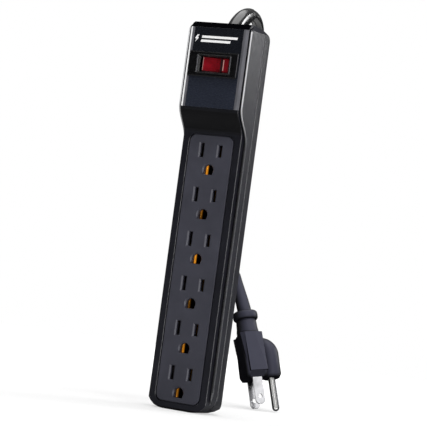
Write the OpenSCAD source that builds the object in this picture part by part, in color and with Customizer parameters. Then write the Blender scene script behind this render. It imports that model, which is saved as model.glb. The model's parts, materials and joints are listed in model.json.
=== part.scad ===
// Six-outlet surge protector strip, standing on its bottom end, with a short
// power cord and a three-prong plug. +Z runs up the strip, the outlets face -Y,
// and the origin is the middle of the strip's footprint. Millimetres.

/* [Housing] */
// Width of the strip
body_w = 44; // [43:0.5:46]
// Height of the strip
body_h = 238; // [236:1:240]
// Plane of the flat back
back_y = 16.9; // [16.5:0.1:18]
// Plane of the outlets
face_y = -6.4; // [-6.6:0.1:-6.2]
// Plane of the head panel
panel_y = -15.1; // [-15.3:0.1:-14.9]
// Plane where the front and rear covers meet
split_y = 3.6; // [3:0.1:4.2]
// Wall thickness
wall = 1.8; // [1.5:0.1:2]
// Height at which the head's sweep begins
sweep_z = 169.6; // [169.4:0.2:172]
// Height of the head's lower edge
head_z = 185; // [184:0.5:186]
// Corner radius of the back, seen from the end
back_r = 8.8; // [6:0.2:9]
// Corner radius of the bottom end, seen from the front
foot_r = 12; // [8:0.5:13]

/* [Outlets] */
// Number of outlets
outlet_count = 6; // [1:1:6]
// Distance between outlets
outlet_pitch = 27.5; // [27:0.5:28]
// Height of the lowest pair of slots
outlet_z = 22.5; // [22:0.5:23]
// Distance between the two blade slots
slot_gap = 12.7; // [12.7]
// Distance from the slots down to the ground hole
ground_drop = 11.9; // [11.9]
// Width of a slot
slot_w = 2.4; // [2:0.1:2.5]
// Length of the neutral slot
neutral_slot = 8.7; // [8:0.1:9]
// Length of the line slot
line_slot = 7.3; // [7:0.1:7.6]
// Radius of the ground hole
ground_hole_r = 3.3; // [3:0.1:3.4]
// Half width of the outlet plate
plate_x = 15.2; // [15:0.1:15.4]
// Gap around the outlet plate
plate_gap = 0.8; // [0.5:0.1:1]

/* [Switch] */
// Height of the switch's middle
switch_z = 211.7; // [211:0.1:213]
// Reach of the raised surround to the left
surround_left = 18.2; // [18:0.1:18.4]
// Reach of the raised surround to the right
surround_right = 16.4; // [16:0.1:16.8]
// Half height of the raised surround
surround_h = 7.6; // [7:0.1:8]
// Plane of the surround's face
surround_y = -16.3; // [-16.5:0.1:-16.1]
// Plane of the bezel's face
bezel_y = -16.9; // [-17:0.1:-16.8]
// Plane of the rocker's pivot
pivot_y = -8.6; // [-8.8:0.1:-8.4]
// Tilt of the rocker to each side
rocker_tilt = 8; // [6:1:8]
// Half length of the rocker
rocker_x = 8.7; // [8.5:0.1:8.8]
// Half height of the rocker
rocker_h = 4.2; // [4:0.1:4.2]

/* [Cord and plug] */
// Diameter of the cord
cord_d = 7; // [6.5:0.5:7]
// Length of the blades outside the plug
blade_l = 17; // [16:0.5:18]
// Width of a blade
blade_w = 6.4; // [6.2:0.1:6.6]
// Thickness of a blade
blade_t = 1.5; // [1.4:0.1:1.6]
// Length of the ground pin outside the plug
pin_l = 21.4; // [20:0.1:21.4]
// Radius of the ground pin
pin_r = 2.4; // [2.3:0.1:2.4]
// Length of the plug's body
plug_l = 31; // [29:1:32]

/* [Hidden] */
$fn = 48;

half_w = body_w / 2;
core_x = 20.3;
groove_w = 0.9;
groove_depth = 1.4;
rail_low_y = -2.8;
rail_high_y = -13.6;
rail_start_z = 166;
rail_end_z = 187;
bevel_z = 3.6;
bevel_x = 2.3;
top_back_r = 20;
foot_back_r = 9;
lip = 0.4;
skin = 0.8;

plate_low = 5;
plate_high = 169.1;
plate_r = 4.5;
slot_xs = [-slot_gap / 2, slot_gap / 2];
outlet_zs = [for (i = [0:outlet_count - 1]) outlet_z + i * outlet_pitch];

screw_x = 12.4;
plate_screw_zs = [10, 118.75];
head_screw_zs = [190, 224];
boss_r = 2.6;
rear_boss_r = 3.6;
screw_zs = concat(plate_screw_zs, head_screw_zs);
screw_r = 1.4;
screw_head_r = 2.5;
screw_sink = 4.5;
keyhole_zs = [52, 196];
keyhole_r = 4.2;
keyhole_slot_r = 2.2;
keyhole_rise = 8;
label_z = 122;
label_size = [22, 58];
label_t = 0.4;

strip_y = 12;
strip_t = 0.8;
ground_strip_y = 9.4;
leaf_front_y = -2.8;
blade_leaf_y = 1.2;
leaf_t = 0.6;
blade_half_gap = 0.85;
pin_half_gap = 2.6;
board_y = 7;
board_t = 1.6;
varistor_zs = [184.5, 192, 199.5];
arm_y = -1.9;
wire_r = 1.1;

clamp_z = 224.5;
clamp_x = 6.4;
clamp_boss_r = 2.2;
clamp_y = 2.7;
clamp_t = 2.3;

// The cord's route: it starts inside the head, arches back out of the top end,
// falls behind the strip and turns in to the plug's collar.
cord_route = [
    [0, -1.2, 220], [-0.4, 0.3, 229.9], [-0.9, 5.1, 238.7], [-1.5, 12.6, 245.3],
    [-2.4, 21.9, 249], [-3.6, 31.9, 249.2], [-5.9, 41.6, 246.4], [-8.6, 50, 240.4],
    [-12, 58.5, 229.6], [-16.2, 67, 213.5], [-21, 75, 196], [-26.5, 84, 176],
    [-32.3, 93, 155], [-38.5, 102, 136], [-44, 110.5, 119.5], [-46, 115.5, 110.5],
    [-46.5, 119.6, 101.5], [-45, 122.3, 92.5], [-42, 123.3, 84], [-38, 123, 76],
    [-33.6, 122.1, 68], [-29.5, 121, 60]];
relief_first = 1;
relief_last = 4;

plug_pos = [-13, 115, 18.5];
plug_turn = [-21, -10, 46];
lobe_r = 6.8;
collar_z = plug_l + 9;
sleeve_rings = 11;

// ---------------------------------------------------------------- shapes

function arc(c, r, a0, a1, n = 8) =
    [for (i = [0:n]) let (a = a0 + (a1 - a0) * i / n) [c[0] + r * cos(a), c[1] + r * sin(a)]];

function unit(v) = v / norm(v);

// A smooth curve through the points p, with n steps between neighbours.
function smooth(p, n) =
    let (m = len(p) - 1)
    concat([for (i = [0:m - 1], k = [0:n - 1])
        let (a = p[max(i - 1, 0)], b = p[i], c = p[i + 1], d = p[min(i + 2, m)], t = k / n)
        0.5 * (2 * b + (c - a) * t + (2 * a - 5 * b + 4 * c - d) * t * t
            + (3 * b - a - 3 * c + d) * t * t * t)], [p[m]]);

function tangents(p) =
    let (m = len(p) - 1)
    [for (i = [0:m]) unit(p[min(i + 1, m)] - p[max(i - 1, 0)])];

// Normals carried along the curve without twist.
function normals(t, i = 0, found = []) =
    i == len(t) ? found :
    let (last = i == 0 ? [1, 0, 0] : found[i - 1], side = last - (last * t[i]) * t[i])
    normals(t, i + 1, concat(found, [unit(side)]));

// A tube along p whose radius at each point is in radii.
module swept(p, radii, sides = 10) {
    t = tangents(p);
    n = normals(t);
    last = len(p) - 1;
    points = [for (i = [0:last], j = [0:sides - 1])
        let (a = 360 * j / sides)
        p[i] + radii[i] * (cos(a) * n[i] + sin(a) * cross(t[i], n[i]))];
    walls = [for (i = [0:last - 1], j = [0:sides - 1])
        let (a = i * sides + j, b = i * sides + (j + 1) % sides)
        each [[a, b + sides, b], [a, a + sides, b + sides]]];
    first_cap = [for (j = [1:sides - 2]) [0, j, j + 1]];
    last_cap = [for (j = [1:sides - 2]) [last * sides, last * sides + j + 1, last * sides + j]];
    polyhedron(points, concat(walls, first_cap, last_cap), convexity = 6);
}

module wire(p, r) {
    curve = smooth(p, 3);
    swept(curve, [for (q = curve) r], 8);
}

// Extrudes an outline drawn in (y, z) from x0 to x1.
module across(x0, x1) {
    translate([x0, 0, 0])
        rotate([90, 0, 90])
        linear_extrude(x1 - x0) children();
}

// Extrudes an outline drawn in (x, z) from y0 to y1.
module through(y0, y1) {
    translate([0, y1, 0])
        rotate([90, 0, 0])
        linear_extrude(y1 - y0) children();
}

module rounded_rect(x, z, r) {
    polygon(concat(
        arc([x - r, z - r], r, 0, 90, 6), arc([r - x, z - r], r, 90, 180, 6),
        arc([r - x, r - z], r, 180, 270, 6), arc([x - r, r - z], r, 270, 360, 6)));
}

// A four-sided funnel: a rectangle a at y0 that narrows to a rectangle b at y1.
module funnel(a, b, y0, y1) {
    ring = [[-1, -1], [1, -1], [1, 1], [-1, 1]];
    points = concat(
        [for (c = ring) [c[0] * a[0], y0, c[1] * a[1]]],
        [for (c = ring) [c[0] * b[0], y1, c[1] * b[1]]]);
    polyhedron(points, [[3, 2, 1, 0], [4, 5, 6, 7], [1, 5, 4, 0], [2, 6, 5, 1],
        [3, 7, 6, 2], [0, 4, 7, 3]]);
}

// ---------------------------------------------------------------- housing

// S-curve from depth y0 at height z0 to depth y1 at height z1.
function sweep_line(y0, z0, y1, z1) =
    [for (i = [0:12]) [y0 + (y1 - y0) * (1 - cos(15 * i)) / 2, z0 + (z1 - z0) * i / 12]];

rail_line = sweep_line(rail_low_y, rail_start_z, rail_high_y, rail_end_z);
core_line = sweep_line(face_y, sweep_z, panel_y, head_z + 1);

// Outline of the strip's back, from the top to the bottom, set in by g.
function back_line(g) = concat(
    arc([back_y - top_back_r, body_h - top_back_r], top_back_r - g, 90, 0, 8),
    arc([back_y - foot_back_r, foot_back_r], foot_back_r - g, 0, -90, 5));

// Side outline between the two rails, set in by g.
module core_side(g) {
    polygon(concat(
        [[face_y + 1.2 + g, g], [face_y + g, 1.2 + g]],
        [for (p = core_line) [p[0] + g, p[1] + g / 2]],
        [[panel_y + g, body_h - bevel_z - g / 2], [panel_y + bevel_z + g / 2, body_h - g]],
        back_line(g)));
}

// Side outline of the rails, set back by dy and in by g.
module rail_side(dy, g) {
    polygon(concat(
        [[rail_low_y + 1.2 + dy, g], [rail_low_y + dy, 1.2 + g]],
        [for (p = rail_line) [p[0] + dy, p[1]]],
        [[rail_high_y + dy, body_h - bevel_z - g / 2],
            [rail_high_y + bevel_z + dy, body_h - g]],
        back_line(g)));
}

// Front outline of the strip, set in by g.
module front_outline(g) {
    x = half_w - g;
    polygon(concat(
        arc([x - foot_r + g, foot_r], foot_r - g, -90, 0, 6),
        [[x, body_h - bevel_z], [x - bevel_x, body_h - g],
            [bevel_x - x, body_h - g], [-x, body_h - bevel_z]],
        arc([foot_r - x - g, foot_r], foot_r - g, 180, 270, 6)));
}

// End outline of the strip, set in by g.
module end_outline(g) {
    x = half_w - g;
    polygon(concat(
        [[-x, -30], [x, -30]],
        arc([half_w - back_r, back_y - back_r], back_r - g, 0, 90, 7),
        arc([back_r - half_w, back_y - back_r], back_r - g, 90, 180, 7)));
}

module outer_body() {
    intersection() {
        union() {
            across(-core_x, core_x) core_side(0);
            // the rails' outer edges are rounded in three steps
            for (step = [[0, 0.5], [0.4, 0.2], [1, 0]])
                across(step[1] - half_w, half_w - step[1]) rail_side(step[0], 0);
        }
        through(-30, 30) front_outline(0);
        linear_extrude(body_h) end_outline(0);
    }
}

module inner_body() {
    intersection() {
        union() {
            across(wall - core_x, core_x - wall) core_side(wall);
            across(wall - half_w, half_w - wall) rail_side(groove_depth + 2, wall);
        }
        through(-30, 30) front_outline(wall);
        translate([0, 0, wall]) linear_extrude(body_h - 2 * wall) end_outline(wall);
    }
}

module side_grooves() {
    for (s = [-1, 1])
        intersection() {
            translate([s < 0 ? -core_x - groove_w : core_x, -30, -1])
                cube([groove_w, 60, body_h + 2]);
            difference() {
                across(-half_w, half_w) translate([-30, -1]) square([60, body_h + 2]);
                across(-half_w - 1, half_w + 1) rail_side(groove_depth, 0);
            }
        }
}

module cord_hole() {
    translate(cord_route[2])
        rotate([-38, 0, 0])
        cylinder(h = 14, r = 5.3, center = true);
}

module at_case_screws(heights) {
    for (x = [-screw_x, screw_x], z = heights)
        translate([x, 0, z]) rotate([-90, 0, 0]) children();
}

module at_clamp_screws() {
    for (x = [-clamp_x, clamp_x])
        translate([x, 0, clamp_z]) rotate([-90, 0, 0]) children();
}

// Pillars inside the front cover: two pairs for the head's case screws and one
// pair for the cord clamp.
module front_pillars() {
    difference() {
        intersection() {
            outer_body();
            union() {
                at_case_screws(head_screw_zs)
                    translate([0, 0, panel_y]) cylinder(h = split_y - panel_y, r = boss_r);
                at_clamp_screws()
                    translate([0, 0, panel_y + 1]) cylinder(h = clamp_y - panel_y - 1, r = clamp_boss_r);
            }
        }
        at_case_screws(head_screw_zs) translate([0, 0, -3]) cylinder(h = 10, r = screw_r);
        at_clamp_screws() translate([0, 0, clamp_y - 8]) cylinder(h = 20, r = 1);
    }
}

module front_cover() {
    color("#15161c")
        difference() {
            union() {
                difference() {
                    outer_body();
                    inner_body();
                }
                front_pillars();
            }
            translate([-50, split_y, -1]) cube([100, 60, body_h + 2]);
            side_grooves();
            // window for the outlet plate
            translate([0, 0, (plate_low + plate_high) / 2])
                through(-20, 0)
                rounded_rect(plate_x + plate_gap, (plate_high - plate_low) / 2 + plate_gap, plate_r);
            // shallow bed for the head panel and the trim strips
            translate([-core_x - 1, panel_y - 1, head_z])
                cube([2 * core_x + 2, 1 + skin, body_h - bevel_z - head_z]);
            translate([0, 0, switch_z]) through(-20, -10) square([22.8, 11.2], center = true);
            cord_hole();
        }
}

module keyhole() {
    rotate([-90, 0, 0]) {
        cylinder(h = 8, r = keyhole_r, center = true);
        translate([0, -keyhole_rise, 0]) cylinder(h = 8, r = keyhole_slot_r, center = true);
        translate([0, -keyhole_rise / 2, 0])
            cube([2 * keyhole_slot_r, keyhole_rise, 8], center = true);
    }
}

module rear_cover() {
    color("#191a20")
        difference() {
            union() {
                difference() {
                    outer_body();
                    inner_body();
                }
                intersection() {
                    outer_body();
                    at_case_screws(screw_zs)
                        translate([0, 0, split_y])
                        cylinder(h = back_y - split_y - 1, r = rear_boss_r);
                }
            }
            translate([-50, split_y - 60, -1]) cube([100, 60, body_h + 2]);
            // shadow gap around the joint between the covers
            difference() {
                translate([-50, split_y - 1, -1]) cube([100, 1.6, body_h + 2]);
                through(-30, 30) front_outline(lip);
            }
            at_case_screws(screw_zs) {
                translate([0, 0, split_y - 1]) cylinder(h = 20, r = screw_r + 0.2);
                translate([0, 0, back_y - screw_sink]) cylinder(h = 20, r = screw_head_r + 0.2);
            }
            for (z = keyhole_zs) translate([0, back_y, z]) keyhole();
            translate([-label_size[0] / 2, back_y - label_t, label_z - label_size[1] / 2])
                cube([label_size[0], 5, label_size[1]]);
            cord_hole();
        }
}

// A slot with a sloped mouth, along Z, centred at its middle.
module slot(length) {
    translate([-slot_w / 2, -10, -length / 2]) cube([slot_w, 20, length]);
    funnel([slot_w / 2 + 1.3, length / 2 + 0.8], [slot_w / 2 - 0.1, length / 2 - 0.1], -0.5, 0.9);
}

// A ground hole: round above, flat below, with a sloped mouth.
module ground_hole() {
    intersection() {
        union() {
            rotate([90, 0, 0]) cylinder(h = 20, r = ground_hole_r, center = true);
            rotate([90, 0, 0]) translate([0, 0, -0.8])
                cylinder(h = 1.3, r1 = ground_hole_r, r2 = ground_hole_r + 1.3);
            translate([-ground_hole_r, -10, -ground_hole_r]) cube([2 * ground_hole_r, 20, ground_hole_r]);
        }
        translate([-6, -12, -ground_hole_r + 0.3]) cube([12, 24, 12]);
    }
}

module outlet_plate() {
    mid = (plate_low + plate_high) / 2;
    half = (plate_high - plate_low) / 2;
    color("#2c2e38")
        difference() {
            union() {
                translate([0, 0, mid]) through(face_y, face_y + wall) rounded_rect(plate_x, half, plate_r);
                intersection() {
                    translate([0, 0, mid])
                        through(face_y + wall, face_y + wall + 1.2)
                        rounded_rect(plate_x + 1.8, half + 1.8, plate_r);
                    inner_body();
                }
                at_case_screws(plate_screw_zs)
                    translate([0, 0, face_y + 1]) cylinder(h = split_y - face_y - 1, r = boss_r);
            }
            at_case_screws(plate_screw_zs) translate([0, 0, -3]) cylinder(h = 10, r = screw_r);
            for (z = outlet_zs) {
                translate([slot_xs[0], face_y, z]) slot(neutral_slot);
                translate([slot_xs[1], face_y, z]) slot(line_slot);
                translate([0, face_y, z - ground_drop]) ground_hole();
            }
        }
}

module head_panel() {
    low = head_z + 0.2;
    high = body_h - bevel_z;
    color("#0b0d13")
        difference() {
            translate([0, 0, (low + high) / 2])
                through(panel_y, panel_y + skin)
                square([34.1, high - low], center = true);
            translate([0, 0, switch_z]) through(-20, -10) square([22.8, 11.2], center = true);
        }
}

module trim_strips() {
    inner_x = 17.15;
    profile = concat(
        [[inner_x, panel_y + skin], [inner_x, panel_y + 0.1]],
        arc([18.5, panel_y + 1.2], 1.3, -130, -50, 5),
        [[core_x - 0.2, panel_y + 0.55], [core_x, panel_y + skin]]);
    color("#8f9096")
        for (s = [0, 1])
            mirror([s, 0, 0])
            difference() {
                translate([0, 0, head_z + 0.2])
                    linear_extrude(body_h - bevel_z - head_z - 0.2)
                    polygon(profile);
                // the left strip makes room for the switch surround
                if (s == 1)
                    translate([0, -20, switch_z - surround_h - 0.2])
                        cube([surround_left + 0.2, 10, 2 * surround_h + 0.4]);
            }
}

module rating_label() {
    color("#3a3b40")
        translate([0, 0, label_z])
        through(back_y - label_t, back_y - 0.1)
        rounded_rect(label_size[0] / 2 - 0.3, label_size[1] / 2 - 0.3, 1.5);
}

module case_screws() {
    color("silver")
        at_case_screws(screw_zs) {
            translate([0, 0, -2.4]) cylinder(h = back_y - screw_sink + 2.4, r = screw_r);
            difference() {
                translate([0, 0, back_y - screw_sink]) cylinder(h = 1.6, r = screw_head_r);
                translate([0, 0, back_y - screw_sink + 1.2]) {
                    cube([3.4, 0.7, 1.4], center = true);
                    cube([0.7, 3.4, 1.4], center = true);
                }
            }
        }
}

// ---------------------------------------------------------------- switch

module at_pivot(angle) {
    translate([0, pivot_y, switch_z]) rotate([0, 0, angle]) children();
}

module switch_surround() {
    half = (surround_left + surround_right) / 2;
    color("#08090b")
        difference() {
            translate([surround_right - half, 0, switch_z])
                union() {
                    through(surround_y + 0.4, panel_y) rounded_rect(half, surround_h, 0.8);
                    through(surround_y, surround_y + 0.4)
                        rounded_rect(half - 0.35, surround_h - 0.35, 0.6);
                    // foot that reaches past the left side of the head panel
                    through(panel_y - 0.1, panel_y + skin)
                        translate([0.5 - half, 0])
                        square([0.8, 2 * surround_h - 1], center = true);
                }
            translate([0, 0, switch_z]) through(-20, -10) square([22.8, 11.2], center = true);
        }
}

module switch_housing() {
    floor_y = 1.5;
    color("#121316")
        difference() {
            union() {
                translate([0, 0, switch_z]) through(surround_y, floor_y) square([22.4, 10.8], center = true);
                translate([0, 0, switch_z]) through(bezel_y + 0.25, surround_y) rounded_rect(12.1, 5.9, 0.5);
                translate([0, 0, switch_z])
                    through(bezel_y, bezel_y + 0.25) rounded_rect(11.85, 5.65, 0.5);
            }
            translate([0, 0, switch_z]) {
                funnel([11.1, 5.3], [9.9, 4.5], bezel_y - 0.01, bezel_y + 1);
                through(bezel_y - 1, bezel_y + 3) square([19.8, 9], center = true);
                through(bezel_y + 1.5, floor_y - 1.2) square([20.8, 9], center = true);
            }
            at_pivot(0) cylinder(h = 10.1, r = 1.25, center = true);
            for (x = [-7, 0, 7]) translate([x, 0, switch_z]) cube([0.9, 8, 4.6], center = true);
        }
}

module rocker() {
    valley = 5.5;
    crest = 6.9;
    color("#a3101c")
        at_pivot(rocker_tilt)
        difference() {
            union() {
                linear_extrude(2 * rocker_h, center = true)
                    polygon([[-rocker_x, -crest], [0, -valley], [rocker_x, -crest],
                        [rocker_x, -2.2], [3.4, 1.8], [-3.4, 1.8], [-rocker_x, -2.2]]);
                cylinder(h = 9.9, r = 1.2, center = true);
            }
            // bore for the sprung plunger
            translate([0, 2, 0]) rotate([90, 0, 0]) cylinder(h = 4.6, r = 1.3);
            // hollows under the two halves
            for (s = [-1, 1])
                translate([s * 6.6, -2.2, 0]) cube([3, 4.6, 6.8], center = true);
        }
}

module rocker_plunger() {
    color("ivory")
        at_pivot(rocker_tilt) {
            translate([0, 4.9, 0]) rotate([90, 0, 0]) cylinder(h = 4.3, r = 1.2);
            translate([0, 4.9, 0]) sphere(r = 1.2);
        }
}

module plunger_spring() {
    color("silver")
        at_pivot(rocker_tilt)
        translate([0, 0.55, 0])
        rotate([90, 0, 0])
        difference() {
            cylinder(h = 3.1, r = 1.1);
            translate([0, 0, -1]) cylinder(h = 6, r = 0.7);
        }
}

module rocker_lamp() {
    color("orange")
        translate([6.2, -5, switch_z]) {
            cylinder(h = 5, r = 1.3, center = true);
            translate([0, 0, 2.5]) sphere(r = 1.3);
        }
}

// See-saw contact that the plunger tips from side to side.
module contact_arm() {
    color("#c08a3c")
        translate([0, arm_y, switch_z])
        rotate([0, 0, -6])
        difference() {
            union() {
                translate([0, -0.2, 0]) cube([14, 0.6, 4], center = true);
                for (s = [-1, 1])
                    translate([s * 5.9, 0.5, 0]) rotate([90, 0, 0]) cylinder(h = 0.8, r = 1, center = true);
            }
            translate([0, 0.25, 0]) cylinder(h = 5, r = 0.4, center = true);
        }
}

module switch_terminals() {
    color("#c08a3c")
        translate([0, 0, switch_z])
        for (x = [-7, 0, 7])
            difference() {
                union() {
                    translate([x - 0.4, x == 0 ? -1.75 : -0.1, -2.2])
                        cube([0.8, x == 0 ? 6.25 : 4.6, 4.4]);
                    if (x != 0)
                        translate([x * 0.86, 0.1, 0]) rotate([90, 0, 0]) cylinder(h = 0.4, r = 1, center = true);
                }
                translate([x, 3.3, 0]) rotate([0, 90, 0]) cylinder(h = 3, r = 0.8, center = true);
            }
}

// ---------------------------------------------------------------- inside

// A long strip behind the slots with a pair of leaves for each blade.
module blade_bus(x, top_z) {
    color("#b9853a") {
        translate([x - 1.9, strip_y, 14]) cube([3.8, strip_t, top_z - 14]);
        for (z = outlet_zs, s = [-1, 1])
            translate([x + s * (blade_half_gap + leaf_t / 2) - leaf_t / 2, blade_leaf_y, z - 3])
                cube([leaf_t, strip_y - blade_leaf_y, 6]);
        translate([x - 0.4, 3, top_z - 4]) cube([0.8, strip_y - 3, 4]);
    }
}

module line_bus() {
    blade_bus(slot_gap / 2, 174);
}

module neutral_bus() {
    blade_bus(-slot_gap / 2, 174);
}

module ground_bus() {
    color("#b9853a")
        difference() {
            union() {
                translate([-4.1, ground_strip_y, 5]) cube([8.2, strip_t, 162]);
                for (z = outlet_zs, s = [-1, 1])
                    translate([s * (pin_half_gap + leaf_t / 2) - leaf_t / 2, leaf_front_y,
                        z - ground_drop - 2.8])
                        cube([leaf_t, ground_strip_y - leaf_front_y, 5.6]);
                translate([-0.4, 4, 163]) cube([0.8, ground_strip_y - 4, 4]);
            }
            for (z = outlet_zs)
                translate([0, ground_strip_y, z - ground_drop])
                    rotate([90, 0, 0]) cylinder(h = 5, r = pin_half_gap, center = true);
        }
}

module circuit_board() {
    color("#2f6b3a")
        difference() {
            translate([-9, board_y, 177]) cube([18, board_t, 45]);
            for (s = [-1, 1])
                translate([s * screw_x, board_y, 190]) rotate([90, 0, 0])
                    cylinder(h = 10, r = rear_boss_r + 0.4, center = true);
        }
}

module varistors() {
    color("#2a6db0")
        for (z = varistor_zs) {
            translate([0, 0.8, z]) cylinder(h = 4.2, r = 5, center = true);
            for (x = [-2.5, 2.5])
                translate([x, 3, z]) rotate([-90, 0, 0]) cylinder(h = board_y - 3, r = 0.4);
        }
}

module thermal_fuse() {
    color("#d8d8d8") {
        translate([-4, 4.4, 179]) rotate([0, 90, 0]) cylinder(h = 8, r = 1.5);
        for (s = [-1, 1]) {
            translate([s * 4.8 - 1.2, 4, 178.6]) cube([2.4, 0.8, 0.8]);
            translate([s * 5.6 - 0.4, 4, 178.6]) cube([0.8, board_y - 4, 0.8]);
        }
    }
}

module line_wire() {
    color("#101010")
        wire([[0, 0.4, 220], [0, 2.4, 219.2], [0, 4.4, 217.6], [0, 5.6, 215], [0, 5.6, 213.2]], wire_r);
}

module switched_wire() {
    color("#7a1616")
        wire([[7, 5.6, 210.5], [7.2, 4.4, 203], [7.3, 3, 192], [7.2, 2, 182], [6.4, 2.6, 174.2]], wire_r);
}

module neutral_wire() {
    color("#e8e8e4")
        wire([[-1.4, -2.2, 220], [-5, -3, 219.5], [-11, -3, 219.3], [-15.4, -1.5, 216], [-17.2, 0, 206],
            [-17.2, 1, 192], [-15.5, 1.6, 182], [-9, 2, 177.5], [-6.4, 2.6, 174.2]], wire_r);
}

module ground_wire() {
    color("#2f7a3c")
        wire([[1.4, -2.2, 220], [5, -3, 219.5], [11, -3, 219.3], [15.4, -1.5, 216], [17.2, 0, 206],
            [17.2, 1, 192], [15.5, 1.2, 182], [11, 0.6, 174], [5, 0.3, 169.5], [0.8, 1.6, 168.2],
            [0, 3, 167.2]], wire_r);
}

module cord_clamp() {
    color("#26272b")
        difference() {
            translate([-8.4, clamp_y, clamp_z - 2]) cube([16.8, clamp_t, 4]);
            translate([-0.2, -0.7, clamp_z]) cylinder(h = 9, r = cord_d / 2 + 0.5, center = true);
            at_clamp_screws() cylinder(h = 12, r = 1.2, center = true);
        }
}

module clamp_screws() {
    color("silver")
        at_clamp_screws() {
            translate([0, 0, clamp_y - 6.5]) cylinder(h = 6.5 + clamp_t, r = 1.1);
            difference() {
                translate([0, 0, clamp_y + clamp_t]) cylinder(h = 1.4, r = 2);
                translate([0, 0, clamp_y + clamp_t + 1.4]) cube([3, 0.6, 1.4], center = true);
            }
        }
}

// ---------------------------------------------------------------- cord, plug

module power_cord() {
    curve = smooth(cord_route, 2);
    color("#101114") swept(curve, [for (q = curve) cord_d / 2], 12);
}

// Tapered sleeve that grips the cord: a flange inside the top wall, then a body
// that narrows as it follows the cord's bend.
module strain_relief() {
    steps = 6;
    curve = smooth(cord_route, steps);
    first = relief_first * steps;
    last = relief_last * steps;
    part = [for (i = [first:last]) curve[i]];
    color("#0d0e11")
        swept(part, [for (i = [first:last])
            let (t = (i - first) / (last - first))
            t < 0.08 ? 6.6 : 4.9 - 1.1 * t], 16);
}

module in_plug_frame() {
    translate(plug_pos) rotate(plug_turn) children();
}

// Outline of the plug's main block, seen from its face: x runs towards the
// ground pin and y from one blade to the other.
module block_outline(x0, x1, y, c) {
    polygon([[x0 + c, -y], [x1, -y], [x1, y], [x0 + c, y], [x0, y - c], [x0, c - y]]);
}

// Sleeve that tapers from the plug's collar along the cord.
module plug_sleeve() {
    curve = smooth(cord_route, 4);
    last = len(curve) - 1;
    rings = [for (i = [last - sleeve_rings:last]) i];
    swept([for (i = rings) curve[i]],
        [for (i = rings) let (t = (last - i) / sleeve_rings) 4.8 - 0.9 * t], 16);
}

module plug_body() {
    color("#1b1c21") {
        plug_sleeve();
        in_plug_frame() {
            hull() {
                linear_extrude(1) block_outline(-7.2, 7, 10.6, 2.4);
                translate([0, 0, plug_l - 2]) linear_extrude(1) block_outline(-7, 6.5, 8.2, 2.4);
                translate([0, 0, plug_l - 1]) linear_extrude(1) block_outline(-6, 5.5, 7.2, 2.4);
            }
            // lobe around the ground pin, with a round shoulder
            hull() {
                translate([11.6, 0, 0]) cylinder(h = 20, r = lobe_r, $fn = 32);
                translate([9.6, 0, plug_l - 10.4]) scale([1, 1, 1.4]) sphere(r = lobe_r, $fn = 32);
                translate([0, -5.5, 0]) cube([4, 11, plug_l - 3]);
            }
            // wedge-shaped grips on the two broad sides
            for (s = [-1, 1])
                hull() {
                    translate([-2.6, s * 10.8 - 0.5, 0.4]) cube([5.6, 1, 1]);
                    translate([-5.4, s * 9.1 - 0.5, plug_l - 2.4]) cube([11.6, 1, 1]);
                }
            translate([0, 0, plug_l - 1]) cylinder(h = 10, r1 = 7.3, r2 = 6.3);
            translate([0, 0, collar_z])
                rotate_extrude()
                polygon(concat([[0, -0.6], [6.2, -0.6]],
                    arc([6.5, 1], 1.3, -80, 0, 4), arc([6.5, 3.6], 1.3, 0, 80, 4), [[0, 4.9]]));
        }
    }
}

// A flat blade with a tapered end and a hole, buried 6 mm in the plug.
module blade(y) {
    w = blade_w / 2;
    color("#c9cbd0")
        in_plug_frame()
        translate([0, y, 0])
        rotate([90, 0, 0])
        difference() {
            linear_extrude(blade_t, center = true)
                polygon([[-w, 6], [w, 6], [w, 2 - blade_l], [w - 0.9, 0.5 - blade_l], [w - 1.6, -blade_l],
                    [1.6 - w, -blade_l], [0.9 - w, 0.5 - blade_l], [-w, 2 - blade_l]]);
            translate([0, -11.9, 0]) cylinder(h = 4, r = 1.55, center = true);
        }
}

module plug_line_blade() {
    blade(slot_gap / 2);
}

module plug_neutral_blade() {
    blade(-slot_gap / 2);
}

// Folded ground pin: round, with a domed tip and the seam of its fold.
module plug_ground_pin() {
    color("#c9cbd0")
        in_plug_frame()
        translate([ground_drop, 0, 0])
        difference() {
            rotate_extrude()
                polygon(concat([[0, 6], [0, -pin_l]], arc([0, pin_r - pin_l], pin_r, -84, 0, 6), [[pin_r, 6]]));
            translate([-0.25, -pin_r - 1, -pin_l + 1.4]) cube([0.5, 2, pin_l]);
        }
}

front_cover();
rear_cover();
outlet_plate();
head_panel();
trim_strips();
switch_surround();
switch_housing();
rocker();
rocker_plunger();
plunger_spring();
rocker_lamp();
contact_arm();
switch_terminals();
line_bus();
neutral_bus();
ground_bus();
circuit_board();
varistors();
thermal_fuse();
line_wire();
switched_wire();
neutral_wire();
ground_wire();
cord_clamp();
clamp_screws();
case_screws();
rating_label();
strain_relief();
power_cord();
plug_body();
plug_line_blade();
plug_neutral_blade();
plug_ground_pin();
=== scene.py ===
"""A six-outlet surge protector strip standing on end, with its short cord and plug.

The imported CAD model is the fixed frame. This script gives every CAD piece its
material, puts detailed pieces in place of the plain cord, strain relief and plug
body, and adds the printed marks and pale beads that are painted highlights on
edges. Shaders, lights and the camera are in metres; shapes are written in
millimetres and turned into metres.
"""

import json
import math

import bmesh
import bpy
from mathutils import Euler, Matrix, Vector


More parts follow.
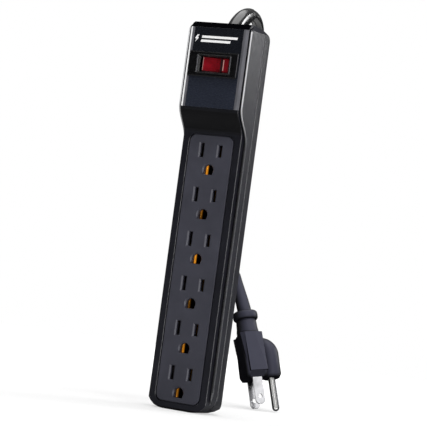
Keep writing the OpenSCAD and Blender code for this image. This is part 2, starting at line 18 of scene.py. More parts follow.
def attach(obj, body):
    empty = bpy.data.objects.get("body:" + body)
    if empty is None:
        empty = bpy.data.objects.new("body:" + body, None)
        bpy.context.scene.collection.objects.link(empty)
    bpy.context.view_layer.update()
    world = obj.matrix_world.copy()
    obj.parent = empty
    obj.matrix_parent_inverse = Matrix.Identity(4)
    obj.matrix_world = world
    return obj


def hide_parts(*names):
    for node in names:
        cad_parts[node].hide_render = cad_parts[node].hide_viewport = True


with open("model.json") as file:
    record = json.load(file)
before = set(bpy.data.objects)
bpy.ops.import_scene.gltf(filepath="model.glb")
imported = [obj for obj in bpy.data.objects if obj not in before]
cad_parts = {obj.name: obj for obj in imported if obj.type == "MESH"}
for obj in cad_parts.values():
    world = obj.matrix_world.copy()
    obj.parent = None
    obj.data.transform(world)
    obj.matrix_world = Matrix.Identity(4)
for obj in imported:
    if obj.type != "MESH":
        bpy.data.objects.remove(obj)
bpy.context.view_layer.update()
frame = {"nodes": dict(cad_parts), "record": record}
MM = 0.001


# ------------------------------------------------------------------ places

def mm(*p):
    """A point given in millimetres, as a vector in metres."""
    return Vector(p) * MM


# The switch: its middle and the rocker's pivot in millimetres, its resting tilt in degrees.
SWITCH_Z = 211.7
ROCKER_PIVOT_Y = -8.6
ROCKER_REST_TILT = 8

# The cord's route in millimetres, as in the CAD source.
CORD_ROUTE = [
    (0, -1.2, 220), (-0.4, 0.3, 229.9), (-0.9, 5.1, 238.7), (-1.5, 12.6, 245.3),
    (-2.4, 21.9, 249), (-3.6, 31.9, 249.2), (-5.9, 41.6, 246.4), (-8.6, 50, 240.4),
    (-12, 58.5, 229.6), (-16.2, 67, 213.5), (-21, 75, 196), (-26.5, 84, 176),
    (-32.3, 93, 155), (-38.5, 102, 136), (-44, 110.5, 119.5), (-46, 115.5, 110.5),
    (-46.5, 119.6, 101.5), (-45, 122.3, 92.5), (-42, 123.3, 84), (-38, 123, 76),
    (-33.6, 122.1, 68), (-29.5, 121, 60)]
CORD_D = 7
CORD_STEPS = 10                      # points on the smooth line for each stretch of the route
RELIEF_SPAN = slice(8, 46)           # the points of the smooth line inside the strain relief
SLEEVE_POINTS = 34                   # the last points of the line, inside the plug's sleeve

# The plug stands on its prongs' tips. Its own Z runs from its prong face to the cord.
PLUG_BROAD = (0.629, -0.694, 0.353)  # the way one of the plug's two broad faces looks
PLUG_FRAME = (Matrix.Translation(mm(-13, 115, 18.5))
              @ Euler([math.radians(a) for a in (-21, -10, 46)]).to_matrix().to_4x4())


# ------------------------------------------------------------------ materials

SOCKETS = {"metallic": "Metallic", "specular": "Specular IOR Level", "coat": "Coat Weight",
           "transmission": "Transmission Weight", "subsurface": "Subsurface Weight"}
RANGE = ("From Min", "From Max", "To Min", "To Max")
MIX_FACTOR, MIX_A, MIX_B, MIX_RESULT = 0, 6, 7, 2    # a Mix node's sockets for colours
FLOAT_A, FLOAT_B, FLOAT_RESULT = 2, 3, 0             # and for plain numbers


class Shader:
    """A material's node tree, with short calls for the nodes it is built from."""

    def __init__(self, name, color, roughness, **sockets):
        self.material = bpy.data.materials.new(name)
        self.material.use_nodes = True
        self.tree = self.material.node_tree
        self.bsdf = self.tree.nodes["Principled BSDF"]
        self.color = color
        self.bsdf.inputs["Base Color"].default_value = (*color, 1)
        self.bsdf.inputs["Roughness"].default_value = roughness
        for socket, value in sockets.items():
            self.bsdf.inputs[SOCKETS[socket]].default_value = value
        self.object_co = self.node("ShaderNodeTexCoord").outputs["Object"]

    def node(self, kind, **values):
        n = self.tree.nodes.new(kind)
        for key, value in values.items():
            setattr(n, key, value)
        return n

    def link(self, a, b):
        self.tree.links.new(a, b)

    def noise(self, scale, detail=3.0, rough=0.55, stretch=(1, 1, 1)):
        """Noise in object space; scale is in features per metre."""
        place = self.node("ShaderNodeMapping")
        place.inputs["Scale"].default_value = stretch
        self.link(self.object_co, place.inputs["Vector"])
        n = self.node("ShaderNodeTexNoise")
        n.inputs["Scale"].default_value = scale
        n.inputs["Detail"].default_value = detail
        n.inputs["Roughness"].default_value = rough
        self.link(place.outputs["Vector"], n.inputs["Vector"])
        return n.outputs["Fac"]

    def axis(self, letter):
        """One of the object's own coordinates."""
        split = self.node("ShaderNodeSeparateXYZ")
        self.link(self.object_co, split.inputs["Vector"])
        return split.outputs[letter]

    def facing(self, direction):
        """1 where the surface faces direction, 0 where it faces across it."""
        return self.dot(self.node("ShaderNodeTexCoord").outputs["Normal"], direction)

    def facing_either_way(self, direction):
        """1 where the surface faces direction or its opposite, 0 where it faces across it."""
        n = self.node("ShaderNodeMath", operation="ABSOLUTE")
        self.link(self.facing(direction), n.inputs[0])
        return n.outputs["Value"]

    def facing_softly(self, direction, rounding):
        """The same as facing, as if the edges were rounded to that radius."""
        edge = self.node("ShaderNodeBevel", samples=6)
        edge.inputs["Radius"].default_value = rounding
        return self.dot(edge.outputs["Normal"], direction)

    def dot(self, vector, direction):
        n = self.node("ShaderNodeVectorMath", operation="DOT_PRODUCT")
        n.inputs[1].default_value = direction
        self.link(vector, n.inputs[0])
        return n.outputs["Value"]

    def product(self, a, b):
        n = self.node("ShaderNodeMath", operation="MULTIPLY")
        self.link(a, n.inputs[0])
        self.link(b, n.inputs[1])
        return n.outputs["Value"]

    def ramp(self, fac, low, high, a, b):
        """Maps fac from [low, high] to [a, b]."""
        n = self.node("ShaderNodeMapRange")
        for socket, value in zip(RANGE, (low, high, a, b)):
            n.inputs[socket].default_value = value
        self.link(fac, n.inputs["Value"])
        return n.outputs["Result"]

    def tint(self, fac, darker, lighter):
        """Base colour that wanders between two shades of the material's colour."""
        mix = self.node("ShaderNodeMix", data_type="RGBA")
        mix.inputs[MIX_A].default_value = (*[c * darker for c in self.color], 1)
        mix.inputs[MIX_B].default_value = (*[min(1, c * lighter) for c in self.color], 1)
        self.link(fac, mix.inputs[MIX_FACTOR])
        self.link(mix.outputs[MIX_RESULT], self.bsdf.inputs["Base Color"])

    def over(self, fac, color):
        """Lays another colour over the base colour where fac is 1."""
        source = self.bsdf.inputs["Base Color"].links[0].from_socket
        mix = self.node("ShaderNodeMix", data_type="RGBA")
        mix.inputs[MIX_B].default_value = (*color, 1)
        self.link(source, mix.inputs[MIX_A])
        self.link(fac, mix.inputs[MIX_FACTOR])
        self.link(mix.outputs[MIX_RESULT], self.bsdf.inputs["Base Color"])

    def rough(self, fac, low, high, a, b):
        self.link(self.ramp(fac, low, high, a, b), self.bsdf.inputs["Roughness"])

    def shine(self, fac):
        self.link(fac, self.bsdf.inputs["Specular IOR Level"])

    def glow(self, color, strength):
        """Emission of one colour; strength is a number or a socket."""
        self.bsdf.inputs["Emission Color"].default_value = (*color, 1)
        if isinstance(strength, bpy.types.NodeSocket):
            self.link(strength, self.bsdf.inputs["Emission Strength"])
        else:
            self.bsdf.inputs["Emission Strength"].default_value = strength

    def bump(self, height, distance, strength=1.0, rounding=0.0):
        """Bump of that height in metres, over edges rounded to that radius."""
        n = self.node("ShaderNodeBump")
        n.inputs["Strength"].default_value = strength
        n.inputs["Distance"].default_value = distance
        self.link(height, n.inputs["Height"])
        if rounding:
            edge = self.node("ShaderNodeBevel", samples=6)
            edge.inputs["Radius"].default_value = rounding
            self.link(edge.outputs["Normal"], n.inputs["Normal"])
        self.link(n.outputs["Normal"], self.bsdf.inputs["Normal"])


def moulded(name, color, roughness, grain=2600, depth=0.00004, rounding=0.0003, spread=0.06,
            sparkle=0.0, **sockets):
    """Moulded plastic: fine grain, soft edges and faint clouding."""
    s = Shader(name, color, roughness, **sockets)
    clouds = s.noise(55, 2)
    s.tint(s.ramp(clouds, 0.3, 0.7, 0, 1), 0.86, 1.16)
    grains = s.noise(grain, 2, 0.7)
    if sparkle:
        s.over(s.ramp(grains, 0.60, 0.74, 0, sparkle), [min(1, c * 2.2 + 0.02) for c in color])
    s.rough(s.noise(420, 3), 0.3, 0.7, roughness - spread, roughness + spread)
    s.bump(grains, depth, 0.7, rounding)
    return s


def metal(name, color, roughness, stretch=(1, 1, 12), rounding=0.0002, scale=900):
    """Rolled or drawn metal with fine draw lines along one axis and light tarnish."""
    s = Shader(name, color, roughness, metallic=1.0)
    s.tint(s.ramp(s.noise(160, 3), 0.35, 0.7, 0, 1), 0.78, 1.08)
    lines = s.noise(scale, 2, 0.6, stretch)
    s.rough(lines, 0.3, 0.7, roughness * 0.7, roughness * 1.4)
    s.bump(lines, 0.00002, 0.35, rounding)
    return s


def vinyl(name, color, roughness, grain=1500, rounding=0.0003, **sockets):
    """Flexible vinyl: smooth, with slow waves and a soft sheen."""
    s = Shader(name, color, roughness, **sockets)
    s.tint(s.ramp(s.noise(90, 2), 0.35, 0.65, 0, 1), 0.85, 1.2)
    s.rough(s.noise(260, 3), 0.3, 0.7, roughness - 0.06, roughness + 0.08)
    s.bump(s.noise(grain, 3, 0.6), 0.00005, 0.5, rounding)
    return s


def case_shader(name, color, roughness):
    """Satin black shell, with painted shade that makes it pure black on top and in the sweep, and
    a painted highlight on its right-hand edges.
    """
    s = moulded(name, color, roughness, grain=3200, depth=0.00002, rounding=0.0006)
    # Painted shade: faces looking down and forward under the head's sweep are darkened to near
    # black.
    s.over(s.ramp(s.facing((0, -0.75, -0.66)), 0.86, 0.96, 0, 0.9), (0.002, 0.002, 0.0028))
    # Painted shade: upward faces are darkened to near black, and their specular is turned down.
    upward = s.facing((0, -0.4, 0.917))
    s.over(s.ramp(upward, 0.7, 0.85, 0, 0.95), (0.001, 0.001, 0.0015))
    s.shine(s.ramp(upward, 0.6, 0.85, 0.12, 0.0))
    # Painted highlight: edges rounded towards the right front are painted pale grey.
    edge = s.facing_softly((0.78, -0.62, 0), 0.0008)
    s.over(s.ramp(edge, 0.90, 0.98, 0, 0.75), (0.5, 0.5, 0.52))
    return s


def plug_shader():
    """Vinyl with painted light: the plug's two broad faces are painted paler and bluer as if lit,
    and its flanks stay darker as painted shade.
    """
    s = vinyl("plug_vinyl", (0.007, 0.007, 0.009), 0.5, grain=2400)
    broad = s.facing_either_way(PLUG_BROAD)
    # Painted light: the broad faces are painted paler and bluer, the flanks left dark as painted
    # shade.
    s.over(s.ramp(broad, 0.52, 1.0, 0, 1), (0.058, 0.059, 0.088))
    s.shine(s.ramp(broad, 0.3, 0.9, 0.0, 0.2))
    return s


def trim_shader():
    """Satin grey strip; the outer slope of the left one is painted nearly white and made to glow,
    a painted highlight.
    """
    s = moulded("trim_grey", (0.20, 0.20, 0.225), 0.38)
    slope = -0.0189, -0.0186         # where the outer slope meets the flat
    # Painted highlight: the left strip's outer slope is painted nearly white and given a glow.
    s.over(s.ramp(s.axis("X"), *slope, 0.9, 0), (0.80, 0.80, 0.81))
    s.glow((1, 1, 1), s.ramp(s.axis("X"), *slope, 0.5, 0))
    return s


def plate_shader():
    """Slate plate with a fine sparkle, paler towards its top, and with a painted highlight on its
    slots' bevels.
    """
    s = moulded("plate_slate", (0.074, 0.075, 0.100), 0.5, depth=0.00005, rounding=0.0004,
                sparkle=0.25)
    s.over(s.ramp(s.axis("Z"), 0.0, 0.17, 0.5, 0), (0.034, 0.035, 0.052))
    # Painted highlight: bevels facing right and forward are painted paler.
    s.over(s.ramp(s.facing((0.84, -0.54, 0)), 0.85, 0.97, 0, 0.8), (0.15, 0.15, 0.18))
    return s


def board_shader():
    """Green solder mask over traces, which show as a paler pattern."""
    s = Shader("circuit_board", (0.02, 0.16, 0.06), 0.35)
    s.tint(s.ramp(s.noise(60, 2), 0.3, 0.7, 0, 1), 0.8, 1.2)
    traces = s.node("ShaderNodeTexBrick", offset=0.5)
    traces.inputs["Scale"].default_value = 160
    traces.inputs["Mortar Size"].default_value = 0.06
    s.link(s.object_co, traces.inputs["Vector"])
    s.over(s.ramp(traces.outputs["Fac"], 0, 1, 0, 0.45), (0.10, 0.38, 0.16))
    s.bump(traces.outputs["Fac"], 0.00004, 0.5, 0.0001)
    return s


def lamp_shader():
    """Thin tinted glass with a faint orange glow."""
    s = Shader("lamp_glass", (1.0, 0.45, 0.15), 0.08, transmission=0.7)
    s.tint(s.ramp(s.noise(300, 2), 0.3, 0.7, 0, 1), 0.8, 1.1)
    s.bump(s.noise(900, 2), 0.00003, 0.3)
    s.glow((1.0, 0.25, 0.06), 0.6)
    return s


def rocker_shader():
    """Translucent red, painted brighter over the lamp under its right-hand end as painted
    lamplight.
    """
    s = Shader("rocker_red", (0.30, 0.006, 0.014), 0.2, subsurface=0.25)
    s.bsdf.inputs["Subsurface Radius"].default_value = (0.004, 0.0006, 0.0006)
    s.bsdf.inputs["Subsurface Scale"].default_value = 0.5
    s.tint(s.ramp(s.noise(130, 3), 0.3, 0.7, 0, 1), 0.55, 1.35)
    # Painted lamplight: the right-hand end is painted a brighter red.
    s.over(s.ramp(s.axis("X"), 0.0030, 0.0090, 0, 0.8), (0.62, 0.012, 0.03))
    s.rough(s.noise(500, 2), 0.3, 0.7, 0.14, 0.26)
    s.bump(s.noise(1400, 2), 0.00003, 0.4, 0.0004)
    return s


def print_shader(name, color):
    """Pad-printed ink: very slightly uneven, and made bright against the black by a painted glow.
    """
    s = Shader(name, color, 0.45)
    # Painted light: the ink glows though it is no lamp.
    s.glow(color, 0.5)
    s.tint(s.ramp(s.noise(1800, 3), 0.35, 0.65, 0, 1), 0.9, 1.08)
    s.bump(s.noise(2600, 2), 0.00002, 0.4)
    return s


def panel_shader():
    """Polished navy-black face with hairline swirls, and painted shade that darkens it towards
    the top.
    """
    s = Shader("panel_gloss", (0.030, 0.036, 0.056), 0.26, coat=0.15)
    s.bsdf.inputs["Coat Roughness"].default_value = 0.12
    s.tint(s.ramp(s.noise(30, 2), 0.3, 0.7, 0, 1), 0.92, 1.08)
    # Painted shade: the top of the panel is darkened.
    s.over(s.ramp(s.axis("Z"), 0.196, 0.222, 0, 0.75), (0.004, 0.0045, 0.006))
    s.rough(s.noise(700, 3, 0.6, (1, 1, 4)), 0.3, 0.7, 0.24, 0.3)
    s.bump(s.noise(90, 1), 0.000002, 0.2, 0.0003)
    return s


def floor_shader():
    """Pale floor, lifted to the backdrop's white where it is seen directly."""
    s = Shader("floor_white", (0.5, 0.5, 0.5), 0.7)
    s.tint(s.ramp(s.noise(6, 2), 0.3, 0.7, 0, 1), 0.985, 1.01)
    s.bump(s.noise(300, 2), 0.00005, 0.15)
    s.bsdf.inputs["Specular IOR Level"].default_value = 0.1
    reach = s.node("ShaderNodeVectorMath", operation="LENGTH")
    s.link(s.object_co, reach.inputs[0])
    lift = s.ramp(reach.outputs["Value"], 0.16, 0.5, 0.475, 0.85)
    seen = s.node("ShaderNodeLightPath").outputs["Is Camera Ray"]
    s.glow((1, 1, 1), s.product(lift, seen))
    return s


SHADERS = {
    "case_black": case_shader("case_black", (0.020, 0.0205, 0.027), 0.36),
    "case_rear": case_shader("case_rear", (0.017, 0.0175, 0.023), 0.42),
    "plate_slate": plate_shader(),
    "panel_gloss": panel_shader(),
    "trim": trim_shader(),
    "switch_black": moulded("switch_black", (0.003, 0.003, 0.004), 0.3, grain=3000),
    "rocker_red": rocker_shader(),
    "nylon": moulded("nylon", (0.75, 0.72, 0.62), 0.45),
    "spring_steel": metal("spring_steel", (0.6, 0.6, 0.6), 0.25),
    "lamp": lamp_shader(),
    "contact_brass": metal("contact_brass", (0.40, 0.20, 0.05), 0.3),
    "board_green": board_shader(),
    "varistor_blue": moulded("varistor_blue", (0.02, 0.10, 0.36), 0.3),
    "fuse_body": moulded("fuse_ceramic", (0.68, 0.68, 0.64), 0.4),
    "wire_black": vinyl("wire_black", (0.012, 0.012, 0.013), 0.4),
    "wire_red": vinyl("wire_red", (0.25, 0.01, 0.01), 0.4),
    "wire_white": vinyl("wire_white", (0.75, 0.75, 0.72), 0.4),
    "wire_green": vinyl("wire_green", (0.02, 0.22, 0.05), 0.4),
    "screw_steel": metal("screw_steel", (0.55, 0.56, 0.58), 0.3),
    "label": moulded("label_film", (0.035, 0.036, 0.04), 0.35, grain=1200),
    "cord_vinyl": vinyl("cord_vinyl", (0.006, 0.006, 0.007), 0.2, specular=0.9),
    "plug_vinyl": plug_shader(),
    "prong_metal": metal("prong_nickel", (0.70, 0.70, 0.72), 0.16, stretch=(1, 1, 8)),
}


def paint(obj, slot_name, look=None):
    """Gives a piece its slot's material, or a look of its own."""
    obj.data.materials.clear()
    obj.data.materials.append((look or SHADERS[slot_name]).material)


def ground_shader():
    """Brass with a painted highlight: bright orange with a painted glow at the front of each
    left-hand leaf, and dull brass behind it.
    """
    s = metal("ground_brass", (0.30, 0.15, 0.035), 0.35)
    front = s.ramp(s.axis("Y"), -0.0020, -0.0008, 1, 0)
    left = s.ramp(s.axis("X"), -0.0005, 0, 1, 0)
    mouth = s.product(front, left)
    # Painted highlight: the front of the leaf is painted bright orange and given a glow.
    s.over(mouth, (0.95, 0.50, 0.10))
    s.glow((1.0, 0.36, 0.02), s.product(mouth, s.ramp(s.noise(24, 0), 0.4, 0.6, 0.06, 0.6)))
    return s


def pin_shader():
    """Nickel pin, dark at its sides, with a painted highlight down its middle."""
    s = metal("pin_nickel", (0.035, 0.035, 0.04), 0.2, stretch=(1, 1, 8))
    middle = s.ramp(s.facing_either_way((0.50, -0.86, 0.1)), 0.80, 0.90, 0, 1)
    # Painted highlight: the middle of the pin is painted near white and given a glow.
    s.over(middle, (0.95, 0.94, 0.93))
    s.glow((1, 1, 0.98), s.ramp(middle, 0, 1, 0, 0.3))
    return s


def rail_highlight_shader():
    """Painted highlight for the front edge of a side rail: pale and glowing, brightest along the
    head.
    """
    s = moulded("rail_highlight", (0.035, 0.035, 0.042), 0.35)
    head = s.ramp(s.axis("Z"), 0.166, 0.192, 0, 1)
    # Painted highlight: pale and glowing along the head, dark below it.
    s.over(head, (0.55, 0.55, 0.57))
    s.glow((1, 1, 1), s.ramp(head, 0, 1, 0.01, 0.28))
    return s


for part in frame["record"]["subparts"]:
    paint(frame["nodes"][part["node"]], part["material_slot"])
paint(frame["nodes"]["ground_bus"], "contact_brass", look=ground_shader())
paint(frame["nodes"]["plug_ground_pin"], "prong_metal", look=pin_shader())


# ------------------------------------------------------------------ meshes

def make_object(name, bm, slot_name, body="strip", smooth=False, look=None):
    """Turns a bmesh into a piece with a material, riding on a CAD body."""
    mesh = bpy.data.meshes.new(name)
    bmesh.ops.recalc_face_normals(bm, faces=bm.faces)
    bm.to_mesh(mesh)
    bm.free()
    obj = bpy.data.objects.new(name, mesh)
    bpy.context.scene.collection.objects.link(obj)
    for polygon in mesh.polygons:
        polygon.use_smooth = smooth
    paint(obj, slot_name, look)
    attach(obj, body)
    return obj


# ------------------------------------------------------------------ camera, light, floor

CAMERA_PLACE = (0.6355, -1.1072, 0.0862)
CAMERA_TURN = (29.684, 1.615, 7.635)     # azimuth from the outlets' front, pitch and roll
CAMERA_LENS, CAMERA_SENSOR = 175.4, 36


def add_camera():
    """Eye-level camera to the right of the outlets, rolled as the strip leans in view."""
    azimuth, pitch, roll = (math.radians(angle) for angle in CAMERA_TURN)
    forward = Vector((-math.sin(azimuth) * math.cos(pitch), math.cos(azimuth) * math.cos(pitch),
                      math.sin(pitch)))
    level = forward.cross(Vector((0, 0, 1))).normalized()
    up = level.cross(forward)
    right = math.cos(roll) * level + math.sin(roll) * up
    above = math.cos(roll) * up - math.sin(roll) * level
    camera = bpy.data.objects.new("camera", bpy.data.cameras.new("camera"))
    camera.data.lens = CAMERA_LENS
    camera.data.sensor_width = CAMERA_SENSOR
    camera.data.clip_end = 20
    rotation = Matrix((right, above, -forward)).transposed()
    camera.matrix_world = Matrix.Translation(CAMERA_PLACE) @ rotation.to_4x4()
    bpy.context.scene.collection.objects.link(camera)
    bpy.context.scene.camera = camera


def add_area(name, place, target, size, power):
    """A soft white panel light that looks at a target."""
    light = bpy.data.lights.new(name, "AREA")
    light.shape = "RECTANGLE"
    light.size, light.size_y = size
    light.energy = power
    obj = bpy.data.objects.new(name, light)
    obj.location = place
    obj.rotation_euler = (Vector(target) - Vector(place)).to_track_quat("-Z", "Y").to_euler()
    bpy.context.scene.collection.objects.link(obj)


def add_world():
    """A white backdrop where it is seen directly; to light, a dim room, brighter overhead."""
    world = bpy.data.worlds.new("studio")
    world.use_nodes = True
    tree = world.node_tree
    background = tree.nodes["Background"]
    background.inputs["Color"].default_value = (1, 1, 1, 1)
    place = tree.nodes.new("ShaderNodeTexCoord")
    split = tree.nodes.new("ShaderNodeSeparateXYZ")
    height = tree.nodes.new("ShaderNodeMapRange")
    for socket, value in zip(RANGE, (0.1, 0.9, 0.03, 0.35)):
        height.inputs[socket].default_value = value
    ray = tree.nodes.new("ShaderNodeLightPath")
    choose = tree.nodes.new("ShaderNodeMix")
    choose.inputs[FLOAT_B].default_value = 1.0
    tree.links.new(place.outputs["Generated"], split.inputs["Vector"])
    tree.links.new(split.outputs["Z"], height.inputs["Value"])
    tree.links.new(ray.outputs["Is Camera Ray"], choose.inputs[MIX_FACTOR])
    tree.links.new(height.outputs["Result"], choose.inputs[FLOAT_A])
    tree.links.new(choose.outputs[FLOAT_RESULT], background.inputs["Strength"])
    bpy.context.scene.world = world


def add_floor():
    """A round floor, one metre in radius."""
    bm = bmesh.new()
    bmesh.ops.create_circle(bm, cap_ends=True, radius=1.0, segments=96)
    mesh = bpy.data.meshes.new("floor")
    bm.to_mesh(mesh)
    bm.free()
    floor = bpy.data.objects.new("floor", mesh)
    bpy.context.scene.collection.objects.link(floor)
    mesh.materials.append(floor_shader().material)


add_camera()
add_world()
add_floor()
add_area("overhead", (0.1, 0.15, 1.7), (0.1, 0.15, 0), (2.0, 2.0), 30)
add_area("back_right", (0.8, 1.4, 0.64), (0, 0, 0.2), (0.45, 0.5), 9)
add_area("front_right", (1.15, -0.66, 0.20), (0, 0, 0.08), (0.25, 0.4), 3.6)
add_area("key", (0.78, -0.36, 0.82), (0, 0.1, 0), (1.0, 0.6), 1.7)
add_area("left", (-0.9, -0.02, 0.36), (0, 0, 0.2), (0.10, 0.3), 0.8)
bpy.context.scene.view_settings.view_transform = "Standard"


# ------------------------------------------------------------------ cord

def smooth_route(points, steps):
    """The same smooth curve through the route's points as in the CAD source."""
    out = []
    last = len(points) - 1
    p = [Vector(q) for q in points]
    for i in range(last):
        a, b, c, d = p[max(i - 1, 0)], p[i], p[i + 1], p[min(i + 2, last)]
        for k in range(steps):
            t = k / steps
            out.append(0.5 * (2 * b + (c - a) * t + (2 * a - 5 * b + 4 * c - d) * t * t
                              + (3 * b - a - 3 * c + d) * t * t * t))
    out.append(p[last])
    return out


def cord_curve(name, points, radius, slot_name):
    """A round cord along points in millimetres."""
    curve = bpy.data.curves.new(name, "CURVE")
    curve.dimensions = "3D"
    curve.bevel_depth = radius * MM
    curve.bevel_resolution = 8
    curve.use_fill_caps = True
    spline = curve.splines.new("POLY")
    spline.points.add(len(points) - 1)
    for target, q in zip(spline.points, points):
        target.co = (*(q * MM), 1)
    spline.use_smooth = True
    obj = bpy.data.objects.new(name, curve)
    bpy.context.scene.collection.objects.link(obj)
    paint(obj, slot_name)
    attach(obj, "strip")
    return obj


def loft(bm, rings):
    """Skins a row of closed rings and caps both ends."""
    loops = [[bm.verts.new(p) for p in ring] for ring in rings]
    for a, b in zip(loops, loops[1:]):
        for i in range(len(a)):
            j = (i + 1) % len(a)
            bm.faces.new((a[i], a[j], b[j], b[i]))
    bm.faces.new(loops[0])
    bm.faces.new(loops[-1])


def sweep_rings(points, radii, webs, sides=32):
    """Rings across a line of points, thickened by webs on the inside of the bend.

    Points, radii and webs are in millimetres, the rings in metres.
    """
    rings = []
    side = Vector((1, 0, 0))
    for i, p in enumerate(points):
        along = (points[min(i + 1, len(points) - 1)] - points[max(i - 1, 0)]).normalized()
        side = (side - side.dot(along) * along).normalized()
        inside = along.cross(side)
        ring = []
        for k in range(sides):
            a = 2 * math.pi * k / sides
            depth = radii[i] + (webs[i] if math.sin(a) > 0 else 0)
            ring.append((p + radii[i] * math.cos(a) * side + depth * math.sin(a) * inside) * MM)
        rings.append(ring)
    return rings


cord_line = smooth_route(CORD_ROUTE, CORD_STEPS)
cord = cord_curve("cord", cord_line, CORD_D / 2, "cord_vinyl")
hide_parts("power_cord")


# ------------------------------------------------------------------ strain relief

def add_relief():
    """Tapered relief with a flange at its foot and a web on the inside of the bend."""
    points = cord_line[RELIEF_SPAN]
    last = len(points) - 1
    flange, foot, taper, tip, deepest_web = 6.4, 4.95, 1.15, 3.6, 2.9
    radii, webs = [], []
    for i in range(last + 1):
        t = i / last
        radii.append((flange if i < 3 else foot - taper * t) if i < last else tip)
        along_web = min(1, max(0, (t - 0.3) / 0.7))
        webs.append(deepest_web * math.sin(math.pi * along_web) ** 0.7)
    bm = bmesh.new()
    loft(bm, sweep_rings(points, radii, webs))
    relief = make_object("relief_sleeve", bm, "cord_vinyl", smooth=True)
    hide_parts("strain_relief")
    return relief


relief = add_relief()


# ------------------------------------------------------------------ plug

def rounded_ring(x0, x1, y, r, z, steps=5):
    """A rectangle from x0 to x1 and -y to y with round corners, in the plug's own frame."""
    ring = []
    for cx, cy, start in ((x1 - r, y - r, 0), (x0 + r, y - r, 90), (x0 + r, r - y, 180),
                          (x1 - r, r - y, 270)):
        for i in range(steps + 1):
            a = math.radians(start + 90 * i / steps)
            ring.append((cx + r * math.cos(a), cy + r * math.sin(a), z))
    return ring


def round_ring(cx, r, z, sides=40):
    """A circle about (cx, 0), in the plug's own frame."""
    return [(cx + r * math.cos(2 * math.pi * i / sides), r * math.sin(2 * math.pi * i / sides), z)
            for i in range(sides)]


def in_plug(rings):
    """Rings given in the plug's own frame in millimetres, moved to the scene in metres."""
    return [[PLUG_FRAME @ (Vector(p) * MM) for p in ring] for ring in rings]


# The plug's shape in its own frame: rows of (x0, x1, y, corner radius, z) for the block, and of
# (radius, z) for the neck and the collar.
PLUG_BLOCK = (
    (-7.0, 6.8, 7.6, 2.2, 1.2), (-7.5, 7.3, 10.7, 2.6, 4.4), (-7.5, 7.2, 10.4, 2.8, 11),
    (-7.4, 7.0, 9.7, 3.0, 22), (-7.3, 6.9, 8.9, 3.2, 30.4), (-6.9, 6.5, 8.3, 3.3, 32.2),
    (-5.8, 5.4, 7.2, 3.3, 33.2))
PLUG_NECK = ((7.0, 30), (7.4, 31.4), (7.4, 34), (7.0, 36.4), (6.8, 40), (6.6, 42.6))
PLUG_COLLAR = (
    (6.4, 42.0), (7.5, 42.3), (8.1, 43), (8.3, 44), (8.3, 46), (8.1, 47), (7.5, 47.7),
    (6.2, 48.1), (5.2, 48.3))
GROUND_PIN_X = 11.9                  # from the plug's middle to its ground pin
LARGEST_SMOOTH_FACE = 0.00002        # in square metres; the plug's larger faces stay flat


def ground_lobe():
    """Rings of the lobe over the ground pin, which leans in and closes at its shoulder."""
    rings = [(GROUND_PIN_X, 5.6, 1.2), (GROUND_PIN_X, 6.9, 3.6)]
    for i in range(9):
        t = i / 8
        rings.append((GROUND_PIN_X - 2.9 * t ** 1.6, 7.0 * math.sqrt(max(0.03, 1 - t ** 2.2)),
                      18 + 11.2 * i / 8))
    return [round_ring(*ring) for ring in rings]


def broad_pad(side):
    """The two ends of the pad on one broad face: a flat middle between two facets."""
    low, high = 4.6, 31.6
    near_face = [(-5.6, 10.3), (-5.1, 12.0), (6.5, 12.0), (7.2, 10.3)]
    near_cord = [(-8.0, 8.7), (-5.3, 10.6), (1.5, 10.6), (7.2, 8.7)]
    inside = [(7.0, 6.0), (-7.0, 6.0)]
    return [[(x, side * y, z) for x, y in outline + inside]
            for outline, z in ((near_face, low), (near_cord, high))]


def cord_sleeve():
    """The sleeve that widens from the cord into the collar."""
    part = cord_line[-SLEEVE_POINTS:]
    last = len(part) - 1
    return sweep_rings(part, [3.75 + 1.15 * i / last for i in range(last + 1)], [0] * (last + 1))


def add_plug():
    """Moulded plug: block, lobe over the ground pin, neck, collar, sleeve and broad pads."""
    bm = bmesh.new()
    loft(bm, in_plug([rounded_ring(*ring) for ring in PLUG_BLOCK]))
    loft(bm, in_plug(ground_lobe()))
    for part in (PLUG_NECK, PLUG_COLLAR):
        loft(bm, in_plug([round_ring(0, r, z) for r, z in part]))
    loft(bm, cord_sleeve())
    for side in (-1, 1):
        loft(bm, in_plug(broad_pad(side)))
    plug = make_object("moulded_plug", bm, "plug_vinyl")
    for polygon in plug.data.polygons:
        polygon.use_smooth = polygon.area < LARGEST_SMOOTH_FACE
    return plug


plug = add_plug()
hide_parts("plug_body")


# ------------------------------------------------------------------ print and small details

MARK_Y = -15.12                      # depth of the mark's back, just in front of the panel
INK = 0.08                           # how far printed ink stands proud


def print_on_panel(bm, outline):
    """A thin prism on the head panel, from an outline in (x, z) millimetres."""
    loft(bm, [[mm(x, y, z) for x, z in outline] for y in (MARK_Y - INK, MARK_Y)])


def add_mark():
    """A generic mark: a bolt beside two slanted stripes."""
    bm = bmesh.new()
    x, z = -16.6, 225.2
    print_on_panel(bm, [(x + 1.9, z + 4.4), (x + 0.2, z + 1.9), (x + 1.4, z + 1.9),
                        (x + 0.6, z - 0.2), (x + 3.0, z + 2.7), (x + 1.8, z + 2.7),
                        (x + 3.2, z + 4.4)])
    x += 4.6
    height, slant = 1.45, 0.3
    for low, width in ((2.5, 25.4), (0, 20.6)):
        start = x + low * 0.15
        print_on_panel(bm, [(start, z + low), (x + width, z + low),
                            (x + width + slant, z + low + height),
                            (start + slant, z + low + height)])
    make_object("head_mark", bm, "trim", look=print_shader("print_white", (0.86, 0.86, 0.86)))


def rocker_face(x):
    """Depth of the rocker's face in its own frame: a shallow valley between its two ends."""
    valley, rise, half_width = -5.5, 1.4, 8.7
    return valley - rise * abs(x) / half_width


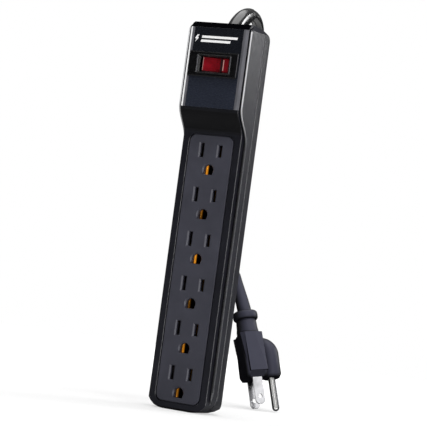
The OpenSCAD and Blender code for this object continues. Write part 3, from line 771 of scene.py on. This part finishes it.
def add_rocker_details():
    """A painted highlight along the rocker's left edge, a painted shadow line, and a printed
    line, all riding on the rocker in its resting tilt.
    """
    sunk = 0.05                      # how far each line's back is inside the rocker
    place = (Matrix.Translation((0, ROCKER_PIVOT_Y, SWITCH_Z))
             @ Matrix.Rotation(math.radians(ROCKER_REST_TILT), 4, "Z"))
    for name, x0, x1, z0, z1, color in (
            # Painted highlight, painted shadow line and printed mark, in that order.
            ("rocker_edge_highlight", -8.6, -8.25, -3.9, 3.9, (0.30, 0.16, 0.15)),
            ("rocker_shadow_line", 2.6, 4.1, -4.1, 4.1, (0.012, 0.002, 0.003)),
            ("rocker_mark", 4.4, 4.95, -3.2, 3.4, (0.50, 0.30, 0.27))):
        bm = bmesh.new()
        rings = []
        for x in (x0, x1):
            y = rocker_face(x)
            rings.append([place @ Vector(q) * MM for q in (
                (x, y + sunk, z0), (x, y - INK, z0), (x, y - INK, z1), (x, y + sunk, z1))])
        loft(bm, rings)
        make_object(name, bm, "rocker_red", body="rocker", look=print_shader(name, color))


def bead(name, points, radius, slot_name, look=None):
    """A round bead along a line of points, all in millimetres."""
    bm = bmesh.new()
    loft(bm, sweep_rings(points, [radius] * len(points), [0] * len(points), sides=10))
    make_object(name, bm, slot_name, smooth=True, look=look)


def add_edge_lines():
    """Pale grey beads that are painted highlights on the switch's edges: the surround's right end
    and the bezel's two ends.
    """
    # Painted highlight: each bead is a pale grey strip along an edge.
    for name, x, y, low, high, r in (("surround_highlight", 16.1, -16.18, 204.6, 218.8, 0.16),
                                     ("bezel_highlight_left", -11.45, -16.8, 206.4, 217, 0.28),
                                     ("bezel_highlight_right", 11.55, -16.8, 206.4, 217, 0.22)):
        points = [Vector((x, y, low + (high - low) * i / 8)) for i in range(9)]
        bead(name, points, r, "trim")


def add_rail_highlights():
    """Beads along the front edges of the two side rails, following the sweep under the head, that
    carry a painted highlight.
    """
    # Painted highlight: the beads carry a pale, glowing colour along the head.
    look = rail_highlight_shader()
    low_y, head_y = -2.75, -13.55
    for name, x in (("rail_highlight_left", -21.8), ("rail_highlight_right", 21.8)):
        points = [Vector((x, low_y, 14 + 38 * i)) for i in range(4)]
        for i in range(25):
            depth = (1 - math.cos(math.pi * i / 24)) / 2
            points.append(Vector((x, low_y + (head_y - low_y) * depth, 166 + 21 * i / 24)))
        points += [Vector((x, head_y, z)) for z in (195, 205, 215, 225, 233.6)]
        bead(name, points, 0.42, "case_black", look=look)


add_mark()
add_rocker_details()
add_edge_lines()
add_rail_highlights()
